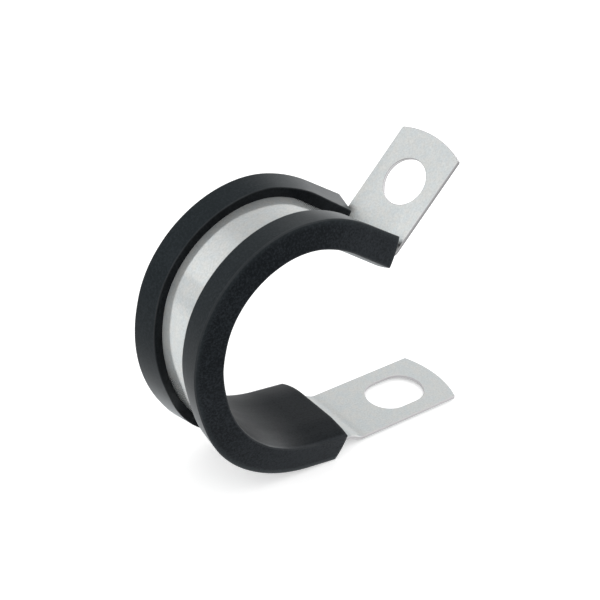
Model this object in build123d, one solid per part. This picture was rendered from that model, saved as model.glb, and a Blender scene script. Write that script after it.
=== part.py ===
from build123d import *
from math import cos, radians, sin
import os

# P clip, shown open: one folded steel strap and one rubber channel around its loop.
# The origin is the middle of the lower tab's slot, on the face that lies on the mounting surface.
# X runs along the lower tab away from the loop, Y along the held pipe and Z away from that surface.

# Sheet steel
sheet = 0.6
band_width = 12.7
tip_corner = 0.3

# Lower tab: a slot for the screw, then a small joggle up to the loop
hole_radius = 3.75
slot_straight = 3.0
lower_tip = 9.1
lower_tip_radius = 15.8
lower_straight = 11.7
joggle_radius = 3.0
joggle_angle = 28.0
joggle_slope = 1.0

# Loop: straight runs, and arcs given as the radius of the sheet's middle line and the angle turned
lip_rise = 7.9
run_in = 8.95
back_arc = (24.2, 91.0)
side_run = 0.7
top_arc = (15.4, 97.0)

# Past the top arc the band bends on with the same radius, so it lies deeper in the rubber than elsewhere
band_extra_turn = 19.4
run_out = 12.06

# Upper tab: folded out from the loop's end, with a round hole
fold_radius = 0.8
upper_tab_slope = 49.3
upper_straight = 9.4
upper_tip = 8.2
upper_tip_radius = 16.3

# Rubber channel: heights are measured from the sheet's middle line, positive out of the loop
cushion_width = 16.8
bore_edge = -2.2
crown = 1.15
shoulder_width = 2.8
shoulder_radius = 12.0
side_top = 2.42
side_lean = 0.85
lip_edge = 1.78
groove_half = 3.72
pocket_gap = 0.02
edge_rounding = 0.2

# Rubber: past the top arc it straightens sooner than the band
shoulder_arc = (23.9, 18.7)

# Rubber ends: how far they pass the curve, their slant that makes the bore side longer, and their bulge
lower_end_run = 6.2
upper_end_run = 8.25
end_slant = 9.0
end_radius = 14.0


def direction(heading):
    return Vector(cos(radians(heading)), 0, sin(radians(heading)))


def cross_plane(point, heading):
    # square to the path: local x lies across the strap, local y points out of the loop
    return Plane(origin=point, x_dir=(0, 1, 0), z_dir=direction(heading))


def straight_leg(profile, point, heading, length):
    solid = extrude(cross_plane(point, heading) * profile, amount=length)
    return solid, point + direction(heading) * length, heading


def curved_leg(profile, point, heading, radius, angle):
    # a positive angle turns clockwise, seen with X to the right and Z up
    side = 90 if angle > 0 else -90
    centre = point + direction(heading - side) * radius
    axis = Axis(centre, (0, 1, 0))
    solid = revolve(cross_plane(point, heading) * profile, axis=axis, revolution_arc=angle)
    heading = heading - angle
    return solid, centre + direction(heading + side) * radius, heading


def follow(profile, point, heading, legs):
    # a leg is (length,) or (radius, angle): returns the joined solid, its end point and its end heading
    whole = None
    for leg in legs:
        make = straight_leg if len(leg) == 1 else curved_leg
        solid, point, heading = make(profile, point, heading, *leg)
        whole = solid if whole is None else whole + solid
    return whole, point, heading


def tab_outline(tip, tip_radius, straight):
    # the hole's middle is at the origin and the rounded tip towards +x
    flat = Pos((tip - straight) / 2, 0) * Rectangle(tip + straight, band_width)
    flat = flat & (Pos(tip - tip_radius, 0) * Circle(tip_radius))
    return fillet(flat.vertices().group_by(Axis.X)[-1], tip_corner)


def tab_solid(outline, hole_middle, heading):
    plane = Plane(origin=hole_middle, x_dir=direction(heading), z_dir=direction(heading + 90))
    return extrude(plane * outline, amount=sheet / 2, both=True)


# Strap: the path starts at the slot and runs towards the loop, so it first heads for -X
slot_middle = Vector(0, 0, sheet / 2)
tab_end = slot_middle - Vector(lower_straight, 0, 0)
band = Rectangle(band_width, sheet)
joggle_legs = [(joggle_radius, joggle_angle), (joggle_slope,), (joggle_radius, lip_rise - joggle_angle)]
joggle, loop_start, loop_heading = follow(band, tab_end, 180, joggle_legs)
band_top_arc = (top_arc[0], top_arc[1] + band_extra_turn)
band_legs = [back_arc, (side_run,), band_top_arc, (run_out,)]
loop, loop_end, end_heading = follow(band, loop_start, loop_heading, [(run_in,)] + band_legs)
fold_angle = end_heading - upper_tab_slope
fold, fold_end, upper_heading = curved_leg(band, loop_end, end_heading, fold_radius, fold_angle)
upper_hole = fold_end + direction(upper_heading) * upper_straight

lower_outline = tab_outline(lower_tip, lower_tip_radius, lower_straight)
lower_outline = lower_outline - SlotCenterToCenter(slot_straight, 2 * hole_radius)
upper_outline = tab_outline(upper_tip, upper_tip_radius, upper_straight) - Circle(hole_radius)
lower_tab = tab_solid(lower_outline, slot_middle, 0)
upper_tab = tab_solid(upper_outline, upper_hole, upper_heading)
strap = lower_tab + joggle + loop + fold + upper_tab

# Cushion: a crowned bore face, leaning sides and a sloping top, cut along the band by its groove and pocket
half = cushion_width / 2
half_section = Polyline(
    (0, 0),
    (0, bore_edge - crown),
    (half - shoulder_width, bore_edge - crown),
    (half, bore_edge),
    (half - side_lean, side_top),
    (groove_half, lip_edge),
    (0, lip_edge),
    close=True,
)
body = make_face(half_section)
body = body + mirror(body, Plane.YZ)
outer_corners = body.vertices().filter_by(lambda corner: abs(corner.X) > half - 1)
body = fillet(outer_corners, edge_rounding)
shoulders = body.vertices().filter_by(lambda corner: corner.Y < bore_edge - crown / 2)
body = fillet(shoulders, shoulder_radius)
pocket = Rectangle(band_width + 2 * pocket_gap, sheet + 2 * pocket_gap)
groove = Pos(0, side_top) * Rectangle(2 * groove_half, 2 * side_top)
opening = pocket + groove


def end_drum(tip, heading):
    # the skin of this drum is the slightly bulged end of the rubber
    middle = tip - direction(heading) * end_radius
    return Plane(origin=middle, z_dir=(0, 1, 0)) * Cylinder(end_radius, 2 * cushion_width)


spare = 2
curve_start = loop_start + direction(loop_heading) * run_in
lower_lip = curve_start - direction(loop_heading) * lower_end_run
lower_from = lower_lip - direction(loop_heading) * spare
lower_end, _, _ = straight_leg(body, lower_from, loop_heading, lower_end_run + spare)
lower_end = lower_end & end_drum(lower_lip, loop_heading + 180 - end_slant)
rubber_legs = [back_arc, (side_run,), top_arc, shoulder_arc]
curve, curve_end, curve_heading = follow(body, curve_start, loop_heading, rubber_legs)
upper_lip = curve_end + direction(curve_heading) * upper_end_run
upper_end, _, _ = straight_leg(body, curve_end, curve_heading, upper_end_run + spare)
upper_end = upper_end & end_drum(upper_lip, curve_heading + end_slant)
opening_legs = [(lower_end_run + spare,)] + band_legs
room_for_band, _, _ = follow(opening, lower_from, loop_heading, opening_legs)
cushion = lower_end + curve + upper_end - room_for_band

os.makedirs("parts", exist_ok=True)
export_step(strap, "parts/steel_strap.step")
export_step(cushion, "parts/rubber_cushion.step")
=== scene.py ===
import bpy
import bmesh
import math
from mathutils import Matrix, Vector
from mathutils.geometry import delaunay_2d_cdt


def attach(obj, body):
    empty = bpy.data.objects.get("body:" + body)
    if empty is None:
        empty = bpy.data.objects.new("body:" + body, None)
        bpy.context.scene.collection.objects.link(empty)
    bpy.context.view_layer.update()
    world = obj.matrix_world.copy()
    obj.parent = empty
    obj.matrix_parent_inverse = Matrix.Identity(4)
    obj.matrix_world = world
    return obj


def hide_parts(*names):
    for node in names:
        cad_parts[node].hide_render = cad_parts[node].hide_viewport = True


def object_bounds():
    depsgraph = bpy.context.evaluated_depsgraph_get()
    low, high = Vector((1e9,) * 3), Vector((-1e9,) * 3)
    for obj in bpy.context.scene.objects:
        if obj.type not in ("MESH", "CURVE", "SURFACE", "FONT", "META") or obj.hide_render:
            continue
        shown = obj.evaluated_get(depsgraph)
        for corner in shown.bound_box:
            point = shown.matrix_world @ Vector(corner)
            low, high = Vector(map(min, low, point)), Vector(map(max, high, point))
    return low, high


print("loading the packed frame")
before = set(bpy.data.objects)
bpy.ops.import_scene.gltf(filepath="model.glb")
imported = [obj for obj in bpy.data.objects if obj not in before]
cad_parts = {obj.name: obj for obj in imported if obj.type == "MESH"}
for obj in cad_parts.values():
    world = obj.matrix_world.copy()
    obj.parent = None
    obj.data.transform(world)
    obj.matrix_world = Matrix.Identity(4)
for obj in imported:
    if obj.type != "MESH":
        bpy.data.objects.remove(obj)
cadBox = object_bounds()
scene = bpy.context.scene
mm = 0.001


# The line of the sheet's middle, from the lower tab's tip round the loop to the upper tab's tip.
# A run is a length, a turn a radius and an angle, clockwise as seen from the clip's near side.
bandLegs = {
    "lowerTabRun": 20.8,
    "joggleOut": (3.0, 28.0),
    "joggleRun": 1.0,
    "joggleBack": (3.0, -20.1),
    "runIn": 8.95,
    "backTurn": (24.2, 91.0),
    "sideRun": 0.7,
    "topTurn": (15.4, 116.4),
    "runOut": 12.06,
    "foldTurn": (0.8, -84.6),
    "upperTabRun": 17.6,
}

# The rubber follows the same line up to the top turn. It straightens sooner past that turn, so the band
# sinks into it there.
sharedLegs = list(bandLegs)[:list(bandLegs).index("topTurn")]
rubberLegs = {name: bandLegs[name] for name in sharedLegs}
rubberLegs.update({"topTurn": (15.4, 97.0), "shoulderTurn": (23.9, 18.7), "runOut": 10.5})

strapSizes = {
    "thickness": 0.6,
    "width": 12.7,
    "lowerTipRadius": 15.8,
    "upperTipRadius": 16.3,
    "cornerRadius": 0.3,
    "slotFromTip": 9.1,
    "slotStraight": 3.0,
    "holeFromTip": 8.2,
    "holeRadius": 3.75,
    "edgeRound": 0.07,     # what the press tool leaves on every cut edge
    "edgeMargin": 0.3,     # flat ring inside each rounded edge
    "stepInBend": 0.55,    # how far apart the rows of points lie
    "stepInFold": 0.2,
    "stepOnRun": 1.2,
    "tightBend": 5.0,      # bends with a smaller radius than this get the fold's step
    "calmRows": (0.12, 0.36, 0.7, 1.05, 1.4, 1.75, 2.2),
    "columns": 8,
    "tipPieces": 24,       # straight pieces of each tip's arc, of half the slot's and of the hole's
    "slotPieces": 26,
    "holePieces": 56,
    "paintedFoldShadeAt": 118.0,      # the middle of the painted shade, a dark line beside the fold, and half its length
    "paintedFoldShadeRun": 0.75,
    "paintedFoldShadeBand": (0.042, 0.315),     # how far from the edges it lies
}


def pathTrace(legs, start, heading):
    degreesApart, runApart = 1.5, 0.5      # how close the points lie on a turn and on a run
    points = [Vector(start)]
    marks = [0.0]
    length = 0.0
    here = Vector(start)
    for leg in legs:
        turning = isinstance(leg, tuple)
        radius, angle = leg if turning else (0.0, 0.0)
        legLength = radius * math.radians(abs(angle)) if turning else leg
        pieces = max(2, math.ceil(abs(angle) / degreesApart if turning else legLength / runApart))
        for _ in range(pieces):
            half = math.radians(angle / pieces / 2)
            chord = 2 * radius * math.sin(abs(half)) if turning else legLength / pieces
            heading -= math.degrees(half)
            middle = math.radians(heading)
            here = here + chord * Vector((math.cos(middle), 0, math.sin(middle)))
            heading -= math.degrees(half)
            points.append(here)
        length += legLength
        marks.append(length)
    return points, marks


def pathObject(name, points):
    # a poly line that the pieces are bent along; it is removed again at the end
    curve = bpy.data.curves.new(name, "CURVE")
    curve.dimensions = "3D"
    spline = curve.splines.new("POLY")
    spline.points.add(len(points) - 1)
    for knot, point in zip(spline.points, points):
        knot.co = (*(point * mm), 1)
    holder = bpy.data.objects.new(name, curve)
    scene.collection.objects.link(holder)
    return holder


def placeOn(points, length):
    # the point and the unit direction at a length along the path
    for here, following in zip(points, points[1:]):
        chord = (following - here).length
        if length <= chord:
            break
        length -= chord
    along = (following - here).normalized()
    return here + along * length, along


print("laying out the lines of the band and of the rubber")
tipPlace = (strapSizes["slotFromTip"], 0, strapSizes["thickness"] / 2)
bandPoints, bandEnds = pathTrace(list(bandLegs.values()), tipPlace, 180)
bandMark = dict(zip(bandLegs, bandEnds))      # the length at which each leg begins
bandLength = bandEnds[-1]
bandLine = pathObject("bandLine", bandPoints)
rubberPoints, rubberEnds = pathTrace(list(rubberLegs.values()), tipPlace, 180)
rubberMark = dict(zip(rubberLegs, rubberEnds))
rubberLine = pathObject("rubberLine", rubberPoints)


def link(tree, fromSocket, toSocket):
    tree.links.new(fromSocket, toSocket)


def bendTree():
    # x of a flat blank becomes the length along the path, y stays, z is the height out of the loop
    tree = bpy.data.node_groups.new("bendAlongPath", "GeometryNodeTree")
    face = tree.interface
    face.new_socket("Geometry", in_out="INPUT", socket_type="NodeSocketGeometry")
    face.new_socket("Path", in_out="INPUT", socket_type="NodeSocketObject")
    face.new_socket("Unevenness", in_out="INPUT", socket_type="NodeSocketFloat")
    face.new_socket("Uneven Size", in_out="INPUT", socket_type="NodeSocketFloat")
    face.new_socket("Seed", in_out="INPUT", socket_type="NodeSocketFloat")
    face.new_socket("Skin", in_out="INPUT", socket_type="NodeSocketMaterial")
    face.new_socket("Cut Skin", in_out="INPUT", socket_type="NodeSocketMaterial")
    face.new_socket("Geometry", in_out="OUTPUT", socket_type="NodeSocketGeometry")
    nodes = tree.nodes
    entry = nodes.new("NodeGroupInput")
    leave = nodes.new("NodeGroupOutput")

    place = nodes.new("GeometryNodeInputPosition")
    flat = nodes.new("ShaderNodeSeparateXYZ")
    link(tree, place.outputs[0], flat.inputs[0])
    info = nodes.new("GeometryNodeObjectInfo")
    info.transform_space = "ORIGINAL"
    link(tree, entry.outputs["Path"], info.inputs["Object"])
    sample = nodes.new("GeometryNodeSampleCurve")
    sample.mode = "LENGTH"
    sample.use_all_curves = True
    link(tree, info.outputs["Geometry"], sample.inputs["Curves"])
    link(tree, flat.outputs["X"], sample.inputs["Length"])

    outward = nodes.new("ShaderNodeVectorMath")     # square to the path, out of the loop
    outward.operation = "CROSS_PRODUCT"
    outward.inputs[1].default_value = (0, 1, 0)
    link(tree, sample.outputs["Tangent"], outward.inputs[0])
    unit = nodes.new("ShaderNodeVectorMath")
    unit.operation = "NORMALIZE"
    link(tree, outward.outputs[0], unit.inputs[0])
    lift = nodes.new("ShaderNodeVectorMath")
    lift.operation = "SCALE"
    link(tree, unit.outputs[0], lift.inputs[0])
    link(tree, flat.outputs["Z"], lift.inputs["Scale"])
    across = nodes.new("ShaderNodeCombineXYZ")
    link(tree, flat.outputs["Y"], across.inputs["Y"])
    lifted = nodes.new("ShaderNodeVectorMath")
    link(tree, sample.outputs["Position"], lifted.inputs[0])
    link(tree, lift.outputs[0], lifted.inputs[1])
    bent = nodes.new("ShaderNodeVectorMath")
    link(tree, lifted.outputs[0], bent.inputs[0])
    link(tree, across.outputs[0], bent.inputs[1])
    bend = nodes.new("GeometryNodeSetPosition")
    link(tree, entry.outputs["Geometry"], bend.inputs["Geometry"])
    link(tree, bent.outputs[0], bend.inputs["Position"])

    grain = nodes.new("ShaderNodeTexNoise")         # a slight waviness of the bent surface
    grain.noise_dimensions = "4D"
    size = nodes.new("ShaderNodeMath")
    size.operation = "DIVIDE"
    size.inputs[0].default_value = 1
    link(tree, entry.outputs["Uneven Size"], size.inputs[1])
    link(tree, size.outputs[0], grain.inputs["Scale"])
    link(tree, entry.outputs["Seed"], grain.inputs["W"])
    centred = nodes.new("ShaderNodeMath")
    centred.operation = "SUBTRACT"
    centred.inputs[1].default_value = 1      # always inwards, so that the piece never outgrows its solid
    link(tree, grain.outputs[0], centred.inputs[0])
    amount = nodes.new("ShaderNodeMath")
    amount.operation = "MULTIPLY"
    link(tree, centred.outputs[0], amount.inputs[0])
    link(tree, entry.outputs["Unevenness"], amount.inputs[1])
    normal = nodes.new("GeometryNodeInputNormal")
    push = nodes.new("ShaderNodeVectorMath")
    push.operation = "SCALE"
    link(tree, normal.outputs[0], push.inputs[0])
    link(tree, amount.outputs[0], push.inputs["Scale"])
    uneven = nodes.new("GeometryNodeSetPosition")
    link(tree, bend.outputs["Geometry"], uneven.inputs["Geometry"])
    link(tree, push.outputs[0], uneven.inputs["Offset"])

    real = nodes.new("GeometryNodeRealizeInstances")
    link(tree, uneven.outputs["Geometry"], real.inputs[0])
    skin = nodes.new("GeometryNodeSetMaterial")
    link(tree, real.outputs[0], skin.inputs["Geometry"])
    link(tree, entry.outputs["Skin"], skin.inputs["Material"])
    cut = nodes.new("GeometryNodeInputNamedAttribute")
    cut.data_type = "INT"
    cut.inputs["Name"].default_value = "cut"
    cutSkin = nodes.new("GeometryNodeSetMaterial")
    link(tree, skin.outputs[0], cutSkin.inputs["Geometry"])
    link(tree, cut.outputs["Attribute"], cutSkin.inputs["Selection"])
    link(tree, entry.outputs["Cut Skin"], cutSkin.inputs["Material"])
    link(tree, cutSkin.outputs[0], leave.inputs[0])
    return tree


def bendPiece(blank, line, tree, skins, unevenness=0.0, unevenSize=5.0, seed=0.0):
    modifier = blank.modifiers.new("bend", "NODES")
    modifier.node_group = tree
    # the noise's middle is a half, so twice the amount goes in
    wanted = {"Path": line, "Unevenness": unevenness * 2 * mm, "Uneven Size": unevenSize * mm,
              "Seed": seed, "Skin": skins[0], "Cut Skin": skins[1]}
    for socket in tree.interface.items_tree:
        if socket.in_out == "INPUT" and socket.name in wanted:
            modifier[socket.identifier] = wanted[socket.name]
    bpy.context.view_layer.update()
    shaped = blank.evaluated_get(bpy.context.evaluated_depsgraph_get())
    mesh = bpy.data.meshes.new_from_object(shaped)
    blank.modifiers.clear()
    flatMesh = blank.data
    blank.data = mesh
    bpy.data.meshes.remove(flatMesh)
    sharpest = 38.0      # edges with a greater angle stay sharp
    mesh.shade_smooth()
    mesh.set_sharp_from_angle(angle=math.radians(sharpest))
    return blank


def roundCorner(before, corner, after, radius, pieces):
    # the points of a small arc that takes the place of a corner
    toBefore = (before - corner).normalized()
    toAfter = (after - corner).normalized()
    opening = toBefore.angle(toAfter)
    setBack = radius / math.tan(opening / 2)
    middle = corner + (toBefore + toAfter).normalized() * radius / math.sin(opening / 2)
    first = corner + toBefore * setBack - middle
    last = corner + toAfter * setBack - middle
    sweep = first.angle_signed(last)
    arc = []
    for k in range(pieces + 1):
        turn = Matrix.Rotation(-sweep * k / pieces, 2)
        arc.append(middle + turn @ first)
    return arc


def closedOutline(corners, longest, support=0.12):
    # corners are (y, z, radius); long sides get points so that they can bend and wave
    spots = [Vector(c[:2]) for c in corners]
    outline = []
    for k, (spot, corner) in enumerate(zip(spots, corners)):
        if corner[2] > 0:
            pieces = 12 if corner[2] > 1 else 4      # a wide rounding gets more points
            outline += roundCorner(spots[k - 1], spot, spots[(k + 1) % len(spots)], corner[2], pieces)
        else:
            outline.append(spot)
    full = []
    for k, spot in enumerate(outline):
        following = outline[(k + 1) % len(outline)]
        gap = (following - spot).length
        full.append(spot)
        if gap > longest:
            along = (following - spot) / gap
            inner = gap - 2 * support
            pieces = max(1, math.ceil(inner / longest))
            full += [spot + along * (support + inner * i / pieces) for i in range(pieces + 1)]
    return full


print("mixing the materials")


def newMaterial(name):
    material = bpy.data.materials.new(name)
    material.use_nodes = True
    tree = material.node_tree
    shader = tree.nodes["Principled BSDF"]
    return material, tree, shader


def noiseOn(tree, vector, scale, detail, roughness):
    noise = tree.nodes.new("ShaderNodeTexNoise")
    noise.inputs["Scale"].default_value = scale
    noise.inputs["Detail"].default_value = detail
    noise.inputs["Roughness"].default_value = roughness
    link(tree, vector, noise.inputs["Vector"])
    return noise.outputs["Fac"]


def stretched(tree, vector, scale):
    mapping = tree.nodes.new("ShaderNodeMapping")
    mapping.inputs["Scale"].default_value = scale
    link(tree, vector, mapping.inputs["Vector"])
    return mapping.outputs["Vector"]


def colourRamp(tree, factor, stops):
    ramp = tree.nodes.new("ShaderNodeValToRGB")
    band = ramp.color_ramp
    while len(band.elements) < len(stops):
        band.elements.new(0.5)
    for element, (place, colour) in zip(band.elements, stops):
        element.position = place
        element.color = (*colour, 1)
    link(tree, factor, ramp.inputs["Fac"])
    return ramp.outputs["Color"]


def ranged(tree, factor, low, high, fromLow=0.3, fromHigh=0.7):
    spread = tree.nodes.new("ShaderNodeMapRange")
    spread.inputs["From Min"].default_value = fromLow
    spread.inputs["From Max"].default_value = fromHigh
    spread.inputs["To Min"].default_value = low
    spread.inputs["To Max"].default_value = high
    link(tree, factor, spread.inputs["Value"])
    return spread.outputs["Result"]


def bumpFrom(tree, height, distance, strength, under=None):
    bump = tree.nodes.new("ShaderNodeBump")
    bump.inputs["Strength"].default_value = strength
    bump.inputs["Distance"].default_value = distance
    link(tree, height, bump.inputs["Height"])
    if under is not None:
        link(tree, under, bump.inputs["Normal"])
    return bump.outputs["Normal"]


def mixValues(tree, a, b, operation="ADD"):
    node = tree.nodes.new("ShaderNodeMath")
    node.operation = operation
    for socket, value in zip(node.inputs, (a, b)):
        if isinstance(value, (int, float)):
            socket.default_value = value
        else:
            link(tree, value, socket)
    return node.outputs[0]


def coordinates(tree):
    place = tree.nodes.new("ShaderNodeTexCoord")
    strip = tree.nodes.new("ShaderNodeUVMap")
    strip.uv_map = "strip"
    return place.outputs["Object"], strip.outputs["UV"]


def splitUp(tree, vector):
    parts = tree.nodes.new("ShaderNodeSeparateXYZ")
    link(tree, vector, parts.inputs[0])
    return parts.outputs


def blended(tree, kind, factor, a, b):
    node = tree.nodes.new("ShaderNodeMix")
    node.data_type = "RGBA"
    node.blend_type = kind
    for socket, value in ((node.inputs[0], factor), (node.inputs[6], a), (node.inputs[7], b)):
        if isinstance(value, (int, float)):
            socket.default_value = value
        elif isinstance(value, tuple):
            socket.default_value = (*value, 1)
        else:
            link(tree, value, socket)
    return node.outputs[2]


def rampAlong(tree, length, stops):
    # a value that changes with the length along the strip, its stops given in mm
    first, last = stops[0][0], stops[-1][0]
    along = ranged(tree, length, 0, 1, first * mm, last * mm)
    return colourRamp(tree, along, [((at - first) / (last - first), (tone,) * 3) for at, tone in stops])


def marked(tree, name):
    attribute = tree.nodes.new("ShaderNodeAttribute")
    attribute.attribute_name = name
    return attribute.outputs["Fac"]


steelLook = {
    "cool": (0.720, 0.762, 0.770),
    "warm": (0.768, 0.780, 0.762),
    "roughness": (-0.03, 0.03),  # unevenness of the values below
    "tintScale": 900,            # noise sizes are in cycles per metre
    "spangleScale": 3400,
    "mottle": 0.30,
    "cutWall": (0.35, 0.345, 0.35),
    "cutWallBright": (0.43, 0.425, 0.43),
    "paintedWallLift": 1.9,           # painted light: the lower tab's cut edges lighter, lit from the floor close under them, and both holes' walls as much lighter
    "holeRimShade": 0.5,              # painted shade along the upper rim of a hole, against the rest of its wall
    # lengths from the lower tip in mm, and how bright (painted light and shade along the strip), how rough
    # and how metallic the sheet is there;
    # the part that isn't metallic is the plating's own milky scatter
    "lightAndShadeAlong": ((0, 0.765), (20, 0.775), (21.5, 0.67), (26, 0.68), (30, 0.79), (60, 1.0),
                  (73.5, 0.97), (75.5, 0.80), (81, 0.785), (87, 0.62), (92, 0.62), (99, 0.75),
                  (110, 0.75), (115, 0.99), (120, 0.95), (127, 0.84), (135, 0.81)),
    "roughAlong": ((0, 0.40), (28, 0.38), (42, 0.22), (56, 0.17), (66, 0.13), (106, 0.13),
                   (113, 0.30), (130, 0.36)),
    "metalAlong": ((0, 0.40), (28, 0.40), (42, 0.94), (54, 0.80), (68, 0.50), (106, 0.50),
                   (112, 0.16), (130, 0.16)),
    "paintedFoldShade": (0.008, 0.008, 0.009),      # painted shade: near black where the rubber's end shades the fold, beside the edges
    # painted light: a paler patch beside the near edge of the upper tab, above the fold, lifting the shade
    # that the rubber's end casts there
    "paintedLight": 0.24,
    "paintedLightAcross": (-6.2, -1.8),         # where across the tab it starts and dies out, in mm
    "paintedLightAlong": ((110, 0.0), (115, 1.0), (119, 1.0), (126, 0.3), (133, 0.0)),
}


def zincSheet():
    material, tree, shader = newMaterial("zincSheet")
    place, strip = coordinates(tree)
    length, across, _ = splitUp(tree, strip)
    tint = noiseOn(tree, place, steelLook["tintScale"], 2, 0.5)
    colour = colourRamp(tree, tint, ((0.36, steelLook["cool"]), (0.64, steelLook["warm"])))
    spangle = noiseOn(tree, place, steelLook["spangleScale"], 3, 0.6)
    swing = steelLook["mottle"] / 2
    mottle = ranged(tree, spangle, 1 - swing, 1 + swing, 0.2, 0.8)
    # painted light and shade: lighter and darker stretches along the strip
    tone = rampAlong(tree, length, steelLook["lightAndShadeAlong"])
    colour = blended(tree, "MULTIPLY", 1.0, colour, blended(tree, "MULTIPLY", 1.0, tone, mottle))
    # painted light beside the near edge of the upper tab, above the fold
    patchFrom, patchTo = steelLook["paintedLightAcross"]
    paintedLightPatch = ranged(tree, across, steelLook["paintedLight"], 0, patchFrom * mm, patchTo * mm)
    paintedLightPatch = mixValues(tree, rampAlong(tree, length, steelLook["paintedLightAlong"]), paintedLightPatch, "MULTIPLY")
    colour = blended(tree, "MULTIPLY", 1.0, colour, mixValues(tree, paintedLightPatch, 1))
    # painted shade: the sheet turns near black beside the fold, where the rubber's end shades it
    colour = blended(tree, "MIX", marked(tree, "paintedFoldShade"), colour, steelLook["paintedFoldShade"])
    link(tree, colour, shader.inputs["Base Color"])
    rolling = noiseOn(tree, stretched(tree, strip, (60, 5200, 1)), 1, 3, 0.6)
    rough = rampAlong(tree, length, steelLook["roughAlong"])
    rough = mixValues(tree, rough, ranged(tree, rolling, *steelLook["roughness"]))
    link(tree, rough, shader.inputs["Roughness"])
    metal = rampAlong(tree, length, steelLook["metalAlong"])
    # the painted shade beside the fold loses its metal shine too, so it stays dark
    unshadedShare = mixValues(tree, 1, marked(tree, "paintedFoldShade"), "SUBTRACT")
    link(tree, mixValues(tree, metal, unshadedShare, "MULTIPLY"), shader.inputs["Metallic"])
    grain = bumpFrom(tree, spangle, 0.01 * mm, 0.12)
    lined = bumpFrom(tree, rolling, 0.01 * mm, 0.08, grain)
    link(tree, lined, shader.inputs["Normal"])
    return material


def shearedEdge():
    # a cut wall: burnished where the punch went in, torn below that
    material, tree, shader = newMaterial("shearedEdge")
    place, strip = coordinates(tree)
    length, upWall, _ = splitUp(tree, strip)
    ragged = noiseOn(tree, stretched(tree, strip, (2600, 400, 1)), 1, 2, 0.5)
    height = mixValues(tree, upWall, mixValues(tree, ragged, 0.16 * mm, "MULTIPLY"))
    burnished = ranged(tree, height, 0, 1, 0.12 * mm, 0.20 * mm)
    colour = colourRamp(tree, burnished, ((0.0, steelLook["cutWall"]), (1.0, steelLook["cutWallBright"])))
    # painted light on the cut walls: lighter close to the floor and inside both holes
    low = ranged(tree, splitUp(tree, place)["Z"], steelLook["paintedWallLift"], 1, 2 * mm, 8 * mm)
    # the holes' walls have lengths past 1000 mm
    inHole = ranged(tree, length, 0, 1, 900 * mm, 1000 * mm)
    holes = ranged(tree, inHole, 1, steelLook["paintedWallLift"], 0, 1)
    paintedWallLight = mixValues(tree, low, holes, "MAXIMUM")
    # painted shade: a dark line along the upper rim of each hole's wall
    rim = ranged(tree, upWall, 0, 1 - steelLook["holeRimShade"], 0.19 * mm, 0.25 * mm)
    darker = mixValues(tree, rim, inHole, "MULTIPLY")
    paintedWallLight = mixValues(tree, paintedWallLight, mixValues(tree, 1, darker, "SUBTRACT"), "MULTIPLY")
    link(tree, blended(tree, "MULTIPLY", 1.0, colour, paintedWallLight), shader.inputs["Base Color"])
    link(tree, ranged(tree, burnished, 0.6, 0.45, 0, 1), shader.inputs["Roughness"])
    streaks = noiseOn(tree, stretched(tree, strip, (9000, 900, 1)), 1, 2, 0.5)
    link(tree, bumpFrom(tree, streaks, 0.03 * mm, 0.3), shader.inputs["Normal"])
    shader.inputs["Metallic"].default_value = 1
    return material


rubberLook = {
    "dustScale": 160,                  # noise sizes are in cycles per metre
    "speckScale": 3100,
    "deep": (0.0014, 0.0026, 0.0040),
    "dusty": (0.0172, 0.0206, 0.0250),
    # painted light: the lips' tops lighter than the sides, as the light falls on them
    "paintedLipLight": (0.0250, 0.0320, 0.0350),
    "paintedLipLightShare": 0.38,
    "wallShade": 0.55,                 # painted shade: how much darker the groove's walls and the bore are painted, in the hollows
    "boreShade": 0.5,
    "edge": (0.044, 0.047, 0.050),     # painted highlight: lighter along the rounded edges, where the light catches them
    "edgeShare": 0.75,
    "roughness": (0.26, 0.34),
    "boreRoughness": 0.13,             # added on the bore face
    "sheen": 0.08,
    "boreFloor": 0.02,                 # the least sheen on the bore
    "sheenRoughness": 0.35,
    "sheenTint": (0.91, 0.97, 1.0),
    # lengths from the lower tip in mm, and the sheen added there on the lips' tops and on the bore
    "topSheen": ((40, 0.75), (50, 0.58), (58, 0.20), (66, 0.0), (94, 0.0), (102, 0.13), (114, 0.13)),
    "boreSheen": ((30, 0.0), (70, 0.0), (84, 0.6), (116, 0.6)),
    "gloss": 0.09,
    "glossTint": (0.84, 0.94, 1.0),
    "cutFace": (0.012, 0.0125, 0.0135),
    # lengths from the lower tip in mm, and the share of the dusty colour there: dust, and painted light and
    # shade along the loop
    "dustAndShadeAlong": ((30, 0.85), (42, 0.66), (52, 0.40), (70, 0.28), (80, 0.36), (88, 0.12),
                  (96, 0.20), (108, 0.62)),
}


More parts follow.
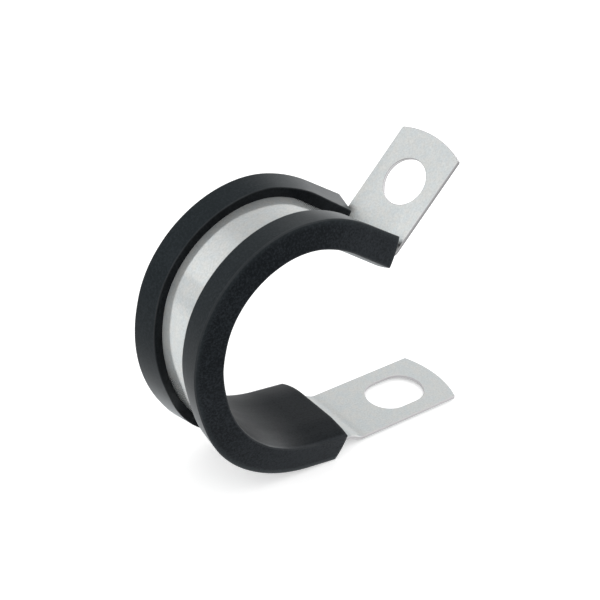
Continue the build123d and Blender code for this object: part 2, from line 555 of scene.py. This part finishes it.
def extrudedRubber():
    material, tree, shader = newMaterial("extrudedRubber")
    place, strip = coordinates(tree)
    dust = noiseOn(tree, place, rubberLook["dustScale"], 4, 0.6)
    speck = noiseOn(tree, place, rubberLook["speckScale"], 3, 0.65)
    length = splitUp(tree, strip)["X"]
    # dust, with painted light and shade in its rise and fall along the loop
    along = rampAlong(tree, length, rubberLook["dustAndShadeAlong"])
    drift = mixValues(tree, ranged(tree, dust, -0.14, 0.14), ranged(tree, speck, -0.9, 0.9, 0.25, 0.75))
    dustAndShade = mixValues(tree, along, drift)
    colour = colourRamp(tree, dustAndShade, ((0.0, rubberLook["deep"]), (1.0, rubberLook["dusty"])))
    # painted light on the lips' tops
    top = mixValues(tree, marked(tree, "top"), rubberLook["paintedLipLightShare"], "MULTIPLY")
    colour = blended(tree, "MIX", top, colour, rubberLook["paintedLipLight"])
    # painted shade on the groove's walls and the bore
    shade = mixValues(tree, mixValues(tree, marked(tree, "wall"), rubberLook["wallShade"], "MULTIPLY"),
                      mixValues(tree, marked(tree, "bore"), rubberLook["boreShade"], "MULTIPLY"))
    colour = blended(tree, "MULTIPLY", 1.0, colour, mixValues(tree, 1, shade, "SUBTRACT"))
    # painted highlight along the rounded edges and cut ends
    paintedEdgeHighlight = mixValues(tree, marked(tree, "edge"), rubberLook["edgeShare"], "MULTIPLY")
    paintedEdgeHighlight = mixValues(tree, paintedEdgeHighlight, ranged(tree, dust, 0.4, 1.0), "MULTIPLY")
    link(tree, blended(tree, "MIX", paintedEdgeHighlight, colour, rubberLook["edge"]), shader.inputs["Base Color"])
    drawn = noiseOn(tree, stretched(tree, strip, (35, 2600, 1)), 1, 3, 0.55)
    lines, clouds = mixValues(tree, drawn, 0.4, "MULTIPLY"), mixValues(tree, dust, 0.6, "MULTIPLY")
    rough = mixValues(tree, lines, clouds)
    duller = mixValues(tree, marked(tree, "bore"), rubberLook["boreRoughness"], "MULTIPLY")
    rough = mixValues(tree, ranged(tree, rough, *rubberLook["roughness"]), duller)
    link(tree, rough, shader.inputs["Roughness"])
    grain = bumpFrom(tree, speck, 0.02 * mm, 0.3)
    lined = bumpFrom(tree, drawn, 0.02 * mm, 0.3, grain)
    link(tree, lined, shader.inputs["Normal"])
    shader.inputs["Specular IOR Level"].default_value = rubberLook["gloss"]
    shader.inputs["Specular Tint"].default_value = (*rubberLook["glossTint"], 1)
    topSheen = rampAlong(tree, length, rubberLook["topSheen"])
    topSheen = mixValues(tree, topSheen, marked(tree, "top"), "MULTIPLY")
    boreSheen = rampAlong(tree, length, rubberLook["boreSheen"])
    boreSheen = mixValues(tree, boreSheen, marked(tree, "bore"), "MULTIPLY")
    plainSheen = ranged(tree, marked(tree, "bore"), rubberLook["sheen"], rubberLook["boreFloor"], 0, 1)
    sheen = mixValues(tree, mixValues(tree, topSheen, boreSheen), plainSheen)
    link(tree, sheen, shader.inputs["Sheen Weight"])
    shader.inputs["Sheen Tint"].default_value = (*rubberLook["sheenTint"], 1)
    shader.inputs["Sheen Roughness"].default_value = rubberLook["sheenRoughness"]
    return material


def cutRubber():
    # the ends, cut by a blade: fine parallel drag marks and a duller face
    material, tree, shader = newMaterial("cutRubber")
    place, strip = coordinates(tree)
    drag = noiseOn(tree, stretched(tree, strip, (5200, 300, 1)), 1, 3, 0.6)
    dust = noiseOn(tree, place, 700, 3, 0.6)
    colour = colourRamp(tree, dust, ((0.3, rubberLook["deep"]), (0.75, rubberLook["cutFace"])))
    link(tree, colour, shader.inputs["Base Color"])
    link(tree, ranged(tree, drag, 0.55, 0.75), shader.inputs["Roughness"])
    link(tree, bumpFrom(tree, drag, 0.06 * mm, 0.5), shader.inputs["Normal"])
    shader.inputs["Specular IOR Level"].default_value = rubberLook["gloss"]
    shader.inputs["Specular Tint"].default_value = (*rubberLook["glossTint"], 1)
    return material


steelSkins = (zincSheet(), shearedEdge())
rubberSkins = (extrudedRubber(), cutRubber())


print("building the rubber channel")
rubberSizes = {
    "width": 16.8,
    "boreEdge": -2.2,
    "boreCrown": 1.15,
    "shoulderWidth": 2.8,
    "shoulderRadius": 12.0,
    "sideTop": 2.42,
    "sideLean": 0.85,
    "lipEdge": 1.78,
    "grooveHalf": 3.72,
    "pocketHalf": 6.37,
    "pocketHeight": 0.32,
    "cornerRound": 0.2,
    "lipRound": 0.12,
    "lowerEndRun": 6.2,    # how far the ends pass the curved part
    "upperEndRun": 8.25,
    "endSlant": 9.0,
    "endRadius": 14.0,
    "endSkew": 0.053,      # the upper end is cut a little out of square
    "endExtra": 0.25,
    "cutRound": 0.09,
    "lipTilt": 0.24,       # how far both lips' tops lean into the groove at the upper end
    "tiltRun": 11.0,
    # where this piece of rubber leaves the drawn section: how much, at which length and over what run
    "farWallLean": (0.92, 59.5, 9.0),      # the wall leans over the band
    "farSwell": (0.23, 47.5, 4.0),         # the whole lip stands out
    "farEdgeLean": (0.85, 57.5, 4.5),      # and its inner edge still more
    "farLift": (0.20, 95.5, 4.0),          # its inner edge rises
    "nearWallBack": (0.45, 62.0, 4.5),     # the wall leans away from the band
    "nearSink": (0.40, 59.5, 6.0),         # the whole lip sinks
    "nearDip": (0.20, 95.5, 3.0),          # its outer edge sinks
    "nearWallLean": 0.24,                  # everywhere
    "boreSwell": 0.33,                     # the bore's near edge stands further in towards the lower end
    "boreSwellTo": 62.0,
    "boreSwellFade": 6.0,
    "step": 0.6,           # how far apart the sections stand, and the points along a long side of one
    "sectionStep": 0.7,
    "endStep": 0.6,        # how far apart the points on the cut ends lie
    "endBlend": 3.0,       # the run over which the slant of an end dies out
    "boreBelow": -2.45,    # the section's points under this height are the bore face
    "markSlack": 0.01,     # how far past its corner a lip's top or a wall still counts
    "unevenness": 0.016,
    "unevenSize": 5.0,
    "seed": 4.0,
}
rubberEnd = rubberSizes["width"] / 2
touching = 0.001      # closer than this is the same place


def rubberSection():
    r = rubberSizes
    lipCorner = rubberEnd - r["sideLean"]
    half = [
        (rubberEnd - r["shoulderWidth"], r["boreEdge"] - r["boreCrown"], r["shoulderRadius"]),
        (rubberEnd, r["boreEdge"], r["cornerRound"]),
        (lipCorner, r["sideTop"], r["cornerRound"]),
        (r["grooveHalf"], r["lipEdge"], r["lipRound"]),
        (r["grooveHalf"], r["pocketHeight"], 0),
        (r["pocketHalf"], r["pocketHeight"], 0),
        (r["pocketHalf"], -r["pocketHeight"], 0),
    ]
    return closedOutline(half + [(-y, z, radius) for y, z, radius in reversed(half)], r["sectionStep"])


def endReach(height):
    # how far the cut end stands past its middle, longer on the bore side and a little bulged
    radius, slant = rubberSizes["endRadius"], math.radians(rubberSizes["endSlant"])
    return math.sqrt(radius ** 2 - (height + radius * math.sin(slant)) ** 2) - radius * math.cos(slant)


def bandSink(length):
    # how far the band's line lies outside the rubber's own line here, so negative where it is deeper
    spot, along = placeOn(rubberPoints, length)
    outward = along.cross(Vector((0, 1, 0)))
    neighbourhood = 3.0
    close = [p for p in bandPoints if (p - spot).length < neighbourhood]
    a, b = sorted(close, key=lambda p: abs((p - spot).dot(along)))[:2]
    fromA, fromB = (a - spot).dot(along), (b - spot).dot(along)
    between = 0 if abs(fromB - fromA) < 1e-6 else -fromA / (fromB - fromA)
    return a.lerp(b, between).dot(outward) - spot.dot(outward)


def share(value, low, high):
    return min(1, max(0, (value - low) / (high - low)))


def hump(name, length):
    amount, at, run = rubberSizes[name]
    return amount * math.exp(-((length - at) / run) ** 2)


def fitted(section, length, last):
    # the section at this length: the band sunk, the lips tilted and uneven, the walls leaning
    r = rubberSizes
    sink = bandSink(length)
    tilt = r["lipTilt"] * share(length, last - r["tiltRun"], last)
    lipCorner = rubberEnd - r["sideLean"]
    swellEnd = r["boreSwellTo"] + r["boreSwellFade"]
    boreSwell = r["boreSwell"] * (1 - share(length, r["boreSwellTo"], swellEnd))
    changed = []
    for spot in section:
        y, z = spot
        across = abs(y)
        inner = 1 - share(across, r["grooveHalf"], lipCorner)      # 1 at the lip's inner edge, 0 at the outer
        rise = share(z, r["pocketHeight"], r["lipEdge"])
        if y > 0:
            lift = hump("farSwell", length) + inner * hump("farLift", length)
            lean = -hump("farWallLean", length) - hump("farEdgeLean", length) * rise
        else:
            lift = -hump("nearSink", length) - (1 - inner) * hump("nearDip", length)
            lean = r["nearWallLean"] - hump("nearWallBack", length)
        lift += tilt * (1 - 2 * inner)
        onWall = across < r["grooveHalf"] + touching
        inPocket = across < r["pocketHalf"] + touching and abs(z) < r["pocketHeight"] + touching
        if z > 0 and onWall or inPocket:
            z += sink * (1 - rise) + lift * rise
        elif across < lipCorner:
            z += lift if z > 0 else 0
        else:
            z += lift * share(z, r["boreEdge"], r["sideTop"])
        if spot.y > r["pocketHeight"] - touching:
            y += lean * (1 if onWall else share(lipCorner - across, 0, lipCorner - r["grooveHalf"]))
        outward = share(-spot.x, rubberEnd - r["shoulderWidth"], rubberEnd)
        z -= boreSwell * outward * share(-spot.y, -r["sideTop"], -r["boreEdge"])
        changed.append(Vector((y, z)))
    return changed


def rubberStations():
    first = rubberMark["backTurn"] - rubberSizes["lowerEndRun"]
    last = rubberMark["runOut"] + rubberSizes["upperEndRun"]
    count = math.ceil((last - first) / rubberSizes["step"])
    return [first + (last - first) * k / count for k in range(count + 1)]


def shrunk(outline, amount):
    # the outline moved inwards by a little, corner by corner
    inner = []
    for k, spot in enumerate(outline):
        before = (spot - outline[k - 1]).normalized()
        after = (outline[(k + 1) % len(outline)] - spot).normalized()
        inward = Vector((-(before + after).y, (before + after).x)).normalized()
        inner.append(spot + inward * amount)
    return inner


def fillOutline(outline, spacing):
    # triangles that fill a closed outline, with inner points on a grid
    count = len(outline)
    border = [(k, (k + 1) % count) for k in range(count)]
    low = Vector((min(p.x for p in outline), min(p.y for p in outline)))
    high = Vector((max(p.x for p in outline), max(p.y for p in outline)))
    seeds = []
    for i in range(1, math.ceil((high.x - low.x) / spacing)):
        for j in range(1, math.ceil((high.y - low.y) / spacing)):
            spot = low + Vector((i, j)) * spacing
            if insideOutline(spot, outline) and min((spot - p).length for p in outline) > spacing * 0.5:
                seeds.append(spot)
    spots, _, triangles, origins, _, _ = delaunay_2d_cdt(outline + seeds, border, [], 0, 1e-6)
    kept = []
    for triangle in triangles:
        centre = sum((spots[i] for i in triangle), Vector((0, 0))) / len(triangle)
        if insideOutline(centre, outline):
            kept.append(triangle)
    return spots, kept, origins


def insideOutline(spot, outline):
    inside = False
    for k, a in enumerate(outline):
        b = outline[k - 1]
        if (a.y > spot.y) != (b.y > spot.y) and spot.x < (b.x - a.x) * (spot.y - a.y) / (b.y - a.y) + a.x:
            inside = not inside
    return inside


def onCorner(spot):
    # true on the small roundings, where the light catches the rubber's edges
    r = rubberSizes
    lipCorner = (rubberEnd - r["sideLean"], r["sideTop"])
    corners = ((rubberEnd, r["boreEdge"]), lipCorner, (r["grooveHalf"], r["lipEdge"]))
    nearby = r["cornerRound"] * 1.05
    return any(math.dist((abs(spot.x), spot.y), corner) < nearby for corner in corners)


def buildRubber():
    r = rubberSizes
    section = rubberSection()
    stations = rubberStations()
    first, last = stations[0], stations[-1]
    mesh = bpy.data.meshes.new("rubberChannel")
    work = bmesh.new()
    around = [0.0]
    for k in range(1, len(section) + 1):
        around.append(around[-1] + (section[k % len(section)] - section[k - 1]).length)
    strip = work.loops.layers.uv.new("strip")
    cut = work.faces.layers.int.new("cut")
    edge = work.verts.layers.float.new("edge")
    bore = work.verts.layers.float.new("bore")
    top = work.verts.layers.float.new("top")
    wall = work.verts.layers.float.new("wall")

    def reached(x, across, height):
        nearFirst = max(0, 1 - (x - first) / r["endBlend"])
        nearLast = max(0, 1 - (last - x) / r["endBlend"])
        skew = r["endSkew"] * across + r["endExtra"]
        return x + (nearLast - nearFirst) * endReach(height) + nearLast * skew

    def ring(x, outline):
        return [work.verts.new((reached(x, *p) * mm, p.x * mm, p.y * mm)) for p in outline]

    # the sections shrink over the last three rows at each end, which rounds the cut
    soft = r["cutRound"]
    partly = soft * 0.3
    cutSection = shrunk(section, soft)
    nearlyCut = shrunk(section, partly)
    rows = [(first, cutSection), (first + partly, nearlyCut), (first + soft, section)]
    rows += [(x, section) for x in stations[1:-1]]
    rows += [(last - soft, section), (last - partly, nearlyCut), (last, cutSection)]
    rows = [(x, fitted(outline, x, last)) for x, outline in rows]
    rings = [ring(x, outline) for x, outline in rows]
    for k, border in enumerate(rings):
        for vert, spot in zip(border, section):
            atEnd = k < 2 or k > len(rings) - 3
            # marks where the painted highlight goes: the rounded corners and the rounded cut ends
            vert[edge] = 1 if atEnd or onCorner(spot) else 0
            vert[bore] = 1 if spot.y < r["boreBelow"] else 0
            vert[top] = 1 if spot.y > r["lipEdge"] - r["markSlack"] else 0
            vert[wall] = 1 if abs(spot.x) < r["grooveHalf"] + r["markSlack"] and spot.y > 0 else 0
    for (x0, _), (x1, _), ringA, ringB in zip(rows, rows[1:], rings, rings[1:]):
        for k in range(len(section)):
            j = (k + 1) % len(section)
            face = work.faces.new((ringA[k], ringA[j], ringB[j], ringB[k]))
            corners = ((x0, around[k]), (x0, around[k + 1]), (x1, around[k + 1]), (x1, around[k]))
            for loop, uv in zip(face.loops, corners):
                loop[strip].uv = (uv[0] * mm, uv[1] * mm)
    for (x, outline), border, turned in ((rows[0], rings[0], True), (rows[-1], rings[-1], False)):
        spots, triangles, origins = fillOutline(outline, r["endStep"])
        corners = {}
        for index, spot in enumerate(spots):
            fromBorder = [o for o in origins[index] if o < len(border)]
            if fromBorder:
                corners[index] = border[fromBorder[0]]
            else:
                corners[index] = work.verts.new((reached(x, *spot) * mm, spot.x * mm, spot.y * mm))
        for triangle in triangles:
            order = list(reversed(triangle)) if turned else triangle
            face = work.faces.new([corners[i] for i in order])
            face[cut] = 1
            for loop in face.loops:
                loop[strip].uv = (loop.vert.co.y, loop.vert.co.z)
    bmesh.ops.recalc_face_normals(work, faces=work.faces)
    work.to_mesh(mesh)
    work.free()
    piece = bpy.data.objects.new("rubberChannel", mesh)
    scene.collection.objects.link(piece)
    return piece


bendAlongPath = bendTree()
rubberChannel = bendPiece(buildRubber(), rubberLine, bendAlongPath, rubberSkins,
                          rubberSizes["unevenness"], rubberSizes["unevenSize"], rubberSizes["seed"])


print("building the steel strap")


def arcPoints(centre, radius, fromAngle, toAngle, pieces):
    step = (toAngle - fromAngle) / pieces
    return [centre + radius * Vector((math.cos(fromAngle + step * k), math.sin(fromAngle + step * k)))
            for k in range(pieces + 1)]


def strapOutline():
    # the flat blank, lower tip at x = 0, as the press tool cuts it
    s = strapSizes
    halfWidth = s["width"] / 2
    outline = []
    for radius, centreX, side in ((s["lowerTipRadius"], s["lowerTipRadius"], -1),
                                  (s["upperTipRadius"], bandLength - s["upperTipRadius"], 1)):
        reach = math.asin(halfWidth / radius)
        base = math.pi if side < 0 else 0.0
        # the tip's arc stops short of the corner, which a small arc then rounds
        tip = arcPoints(Vector((centreX, 0)), radius, base - reach, base + reach, s["tipPieces"])
        before, after = (tip[0], tip[-1])
        tipArc = tip[1:-1]
        straightBefore = Vector((before.x - side * 2, before.y))
        straightAfter = Vector((after.x - side * 2, after.y))
        outline += roundCorner(straightBefore, before, tipArc[0], s["cornerRadius"], 4)
        outline += tipArc[1:-1]
        outline += roundCorner(tipArc[-1], after, straightAfter, s["cornerRadius"], 4)
    return outline


def strapHoles():
    s = strapSizes
    radius, half = s["holeRadius"], s["slotStraight"] / 2
    slotX, holeX = s["slotFromTip"], bandLength - s["holeFromTip"]
    quarter = math.pi / 2
    slot = arcPoints(Vector((slotX + half, 0)), radius, -quarter, quarter, s["slotPieces"])
    slot += arcPoints(Vector((slotX - half, 0)), radius, quarter, 3 * quarter, s["slotPieces"])
    hole = arcPoints(Vector((holeX, 0)), radius, 0, 4 * quarter, s["holePieces"])[:-1]
    return slot, hole


def strapStations():
    # places along the blank where it has to bend, closer in the tight turns
    places = []
    for name, leg in bandLegs.items():
        begin = bandMark[name]
        if isinstance(leg, tuple):
            length = leg[0] * math.radians(abs(leg[1]))
            tight = leg[0] < strapSizes["tightBend"]
            step = strapSizes["stepInFold"] if tight else strapSizes["stepInBend"]
        elif name in ("lowerTabRun", "upperTabRun"):
            continue
        else:
            length, step = leg, strapSizes["stepOnRun"]
        count = max(1, math.ceil(length / step))
        places += [begin + length * k / count for k in range(count)]
    first, last = bandMark["joggleOut"], bandMark["upperTabRun"]
    calm = strapSizes["calmRows"]      # rows on the flats settle the shading right beside a bend
    return [first - gap for gap in reversed(calm)] + places + [last] + [last + gap for gap in calm]


def buildStrap():
    s = strapSizes
    halfWidth, half = s["width"] / 2, s["thickness"] / 2
    stations = strapStations()
    outline = strapOutline()
    # the long sides get the stations' points, so that the edges bend with the sheet
    longSide = bandLength / 2
    gaps = [(following - spot).length for spot, following in zip(outline, outline[1:] + outline[:1])]
    sideAt = [k for k, gap in enumerate(gaps) if gap > longSide]
    full = []
    for k, spot in enumerate(outline):
        full.append(spot)
        if k in sideAt:
            following = outline[(k + 1) % len(outline)]
            ordered = stations if following.x > spot.x else list(reversed(stations))
            full += [Vector((x, spot.y)) for x in ordered]
    loops = [full] + list(strapHoles())
    border, edges, groups = [], [], []
    for k, loop in enumerate(loops):
        inward = 1 if k == 0 else -1
        loop = loop if turnsLeft(loop) else list(reversed(loop))
        rounded = shrunk(loop, inward * s["edgeRound"])
        margin = shrunk(loop, inward * s["edgeMargin"])
        start = len(border)
        border += rounded
        groups.append((start, len(loop), loop, inward))
        edges += [(start + i, start + (i + 1) % len(loop)) for i in range(len(loop))]
        start = len(border)
        border += margin
        edges += [(start + i, start + (i + 1) % len(loop)) for i in range(len(loop))]
    innerHalf = halfWidth - s["edgeMargin"]
    columns = s["columns"]
    for x in stations:
        start = len(border)
        border += [Vector((x, innerHalf * (2 * j / columns - 1))) for j in range(1, columns)]
        edges += [(start + j, start + j + 1) for j in range(columns - 2)]
    spots, _, triangles, origins, _, _ = delaunay_2d_cdt(border, edges, [], 0, 1e-7)
    roundedLoops = [[border[start + i] for i in range(count)] for start, count, _, _ in groups]
    kept = []
    for triangle in triangles:
        centre = sum((spots[i] for i in triangle), Vector((0, 0))) / 3
        inHole = any(insideOutline(centre, hole) for hole in roundedLoops[1:])
        if insideOutline(centre, roundedLoops[0]) and not inHole:
            kept.append(triangle)
    newIndex = {old: new for new, olds in enumerate(origins) for old in olds}

    mesh = bpy.data.meshes.new("steelStrap")
    work = bmesh.new()
    strip = work.loops.layers.uv.new("strip")
    cut = work.faces.layers.int.new("cut")
    paintedFoldShade = work.verts.layers.float.new("paintedFoldShade")
    sides = {}
    for sign in (1, -1):
        sides[sign] = [work.verts.new((p.x * mm, p.y * mm, sign * half * mm)) for p in spots]
        for triangle in kept:
            order = triangle if sign > 0 else list(reversed(triangle))
            face = work.faces.new([sides[sign][i] for i in order])
            for loop in face.loops:
                loop[strip].uv = (loop.vert.co.x, loop.vert.co.y)
    holesFrom = 1000.0      # the holes' walls have lengths from here on, so that they can look different
    rounding = (0.45, 0.8, 1.0)      # steps of the rounded edge, from the flat to the cut wall
    for start, count, loop, inward in groups:
        depths = []
        for turn in rounding:
            angle = turn * math.pi / 2
            drop = s["edgeRound"] * (1 - math.cos(angle))
            depths.append((s["edgeRound"] * (1 - math.sin(angle)), half - drop))
        levels = [(inset, z) for inset, z in depths] + [(inset, -z) for inset, z in reversed(depths)]
        rings = [[sides[1][newIndex[start + i]] for i in range(count)]]
        for inset, z in levels:
            moved = shrunk(loop, inward * inset)
            rings.append([work.verts.new((p.x * mm, p.y * mm, z * mm)) for p in moved])
        rings.append([sides[-1][newIndex[start + i]] for i in range(count)])
        walked = [0.0 if inward > 0 else holesFrom]
        for i in range(count):
            walked.append(walked[-1] + (loop[(i + 1) % count] - loop[i]).length)
        for upper, lower in zip(rings, rings[1:]):
            for i in range(count):
                j = (i + 1) % count
                face = work.faces.new((upper[i], lower[i], lower[j], upper[j]))
                face[cut] = 1
                lengths = (walked[i], walked[i], walked[i + 1], walked[i + 1])
                for corner, along in zip(face.loops, lengths):
                    corner[strip].uv = (along * mm, corner.vert.co.z)
    # painted shade: the dark line beside the fold, on the upper face near the edges
    for vert in work.verts:
        place = vert.co / mm
        beside = place.z > 0 and s["paintedFoldShadeBand"][0] < halfWidth - abs(place.y) < s["paintedFoldShadeBand"][1]
        vert[paintedFoldShade] = math.exp(-((place.x - s["paintedFoldShadeAt"]) / s["paintedFoldShadeRun"]) ** 2) if beside else 0
    loose = [v for v in work.verts if not v.link_faces]
    bmesh.ops.delete(work, geom=loose, context="VERTS")
    bmesh.ops.recalc_face_normals(work, faces=work.faces)
    work.to_mesh(mesh)
    work.free()
    piece = bpy.data.objects.new("steelStrap", mesh)
    scene.collection.objects.link(piece)
    return piece


def turnsLeft(outline):
    area = sum(a.x * b.y - b.x * a.y for a, b in zip(outline, outline[1:] + outline[:1]))
    return area > 0


steelStrap = bendPiece(buildStrap(), bandLine, bendAlongPath, steelSkins)
bpy.data.objects.remove(bandLine)
bpy.data.objects.remove(rubberLine)


for piece, skins, node, slotName in ((steelStrap, steelSkins, "steel_strap", "zinc_plated_steel"),
                                     (rubberChannel, rubberSkins, "rubber_cushion", "black_rubber")):
    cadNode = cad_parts[node]
    cadNode.data.materials.clear()
    cadNode.data.materials.append(skins[0])
    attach(piece, "root")
    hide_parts(node)


print("setting up the studio")
studio = {
    "floorColour": (0.90, 0.90, 0.90),
    "floorRoughness": 0.9,
    "floorGlow": 0.45,            # seen by the camera only, so that the paper comes out white
    "floorGap": 0.00002,          # how far it lies under the clip, and how far it reaches, in metres
    "floorReach": 3.0,
    "skyForSurfaces": 0.80,
    # each lamp's place from the clip's middle in metres, its size and its watts
    "key": ((-0.60, 0.10, 1.00), 2.0, 5.0),
    "fill": ((0.75, -0.65, 0.75), 1.6, 2.0),
    "side": ((0.93, 0.34, 0.11), 0.26, 1.25),
}


def buildFloor():
    z = cadBox[0].z - studio["floorGap"]
    mesh = bpy.data.meshes.new("paperFloor")
    reach = studio["floorReach"]
    corners = [(-reach, -reach, z), (reach, -reach, z), (reach, reach, z), (-reach, reach, z)]
    mesh.from_pydata(corners, [], [(0, 1, 2, 3)])
    floor = bpy.data.objects.new("paperFloor", mesh)
    scene.collection.objects.link(floor)
    material, tree, shader = newMaterial("whitePaper")
    shader.inputs["Base Color"].default_value = (*studio["floorColour"], 1)
    shader.inputs["Roughness"].default_value = studio["floorRoughness"]
    shader.inputs["Specular IOR Level"].default_value = 0.0
    rays = tree.nodes.new("ShaderNodeLightPath")
    shader.inputs["Emission Color"].default_value = (1, 1, 1, 1)
    glow = mixValues(tree, rays.outputs["Is Camera Ray"], studio["floorGlow"], "MULTIPLY")
    link(tree, glow, shader.inputs["Emission Strength"])
    mesh.materials.append(material)


def buildSky():
    world = bpy.data.worlds.new("studioSky")
    scene.world = world
    world.use_nodes = True
    tree = world.node_tree
    background = tree.nodes["Background"]
    background.inputs["Color"].default_value = (1, 1, 1, 1)
    rays = tree.nodes.new("ShaderNodeLightPath")
    seen = mixValues(tree, rays.outputs["Is Camera Ray"], rays.outputs["Is Glossy Ray"], "MAXIMUM")
    seen = mixValues(tree, seen, rays.outputs["Is Transmission Ray"], "MAXIMUM")
    strength = mixValues(tree, mixValues(tree, seen, 1 - studio["skyForSurfaces"], "MULTIPLY"),
                         studio["skyForSurfaces"])
    link(tree, strength, background.inputs["Strength"])


def areaLamp(name, place, aim, size, watts):
    data = bpy.data.lights.new(name, "AREA")
    data.shape = "SQUARE"
    data.size = size
    data.energy = watts
    lamp = bpy.data.objects.new(name, data)
    lamp.location = place
    lamp.rotation_euler = (Vector(aim) - Vector(place)).to_track_quat("-Z", "Y").to_euler()
    scene.collection.objects.link(lamp)


def buildLamps():
    middle = (cadBox[0] + cadBox[1]) / 2
    for name in ("key", "fill", "side"):
        place, size, watts = studio[name]
        areaLamp(name + "Lamp", middle + Vector(place), middle, size, watts)


buildFloor()
buildSky()
buildLamps()


print("placing the camera")
view = {
    "eye": (-0.1769, -0.1788, 0.1850),
    "along": (0.5438, 0.6285, -0.5561),
    "right": (0.7844, -0.6162, 0.0706),
    "lens": 113.35,
    "sensorWidth": 36,
    "clip": (0.01, 10),
}


def buildCamera():
    data = bpy.data.cameras.new("photoCamera")
    data.lens = view["lens"]
    data.sensor_width = view["sensorWidth"]
    data.clip_start, data.clip_end = view["clip"]
    camera = bpy.data.objects.new("photoCamera", data)
    along = Vector(view["along"]).normalized()
    right = Vector(view["right"]).normalized()
    up = right.cross(along).normalized()
    right = along.cross(up)
    turn = Matrix((right, up, -along)).transposed()
    camera.matrix_world = Matrix.Translation(view["eye"]) @ turn.to_4x4()
    scene.collection.objects.link(camera)
    scene.camera = camera


buildCamera()
scene.view_settings.view_transform = "Standard"

print("cad box", [tuple(round(v, 5) for v in corner) for corner in cadBox])
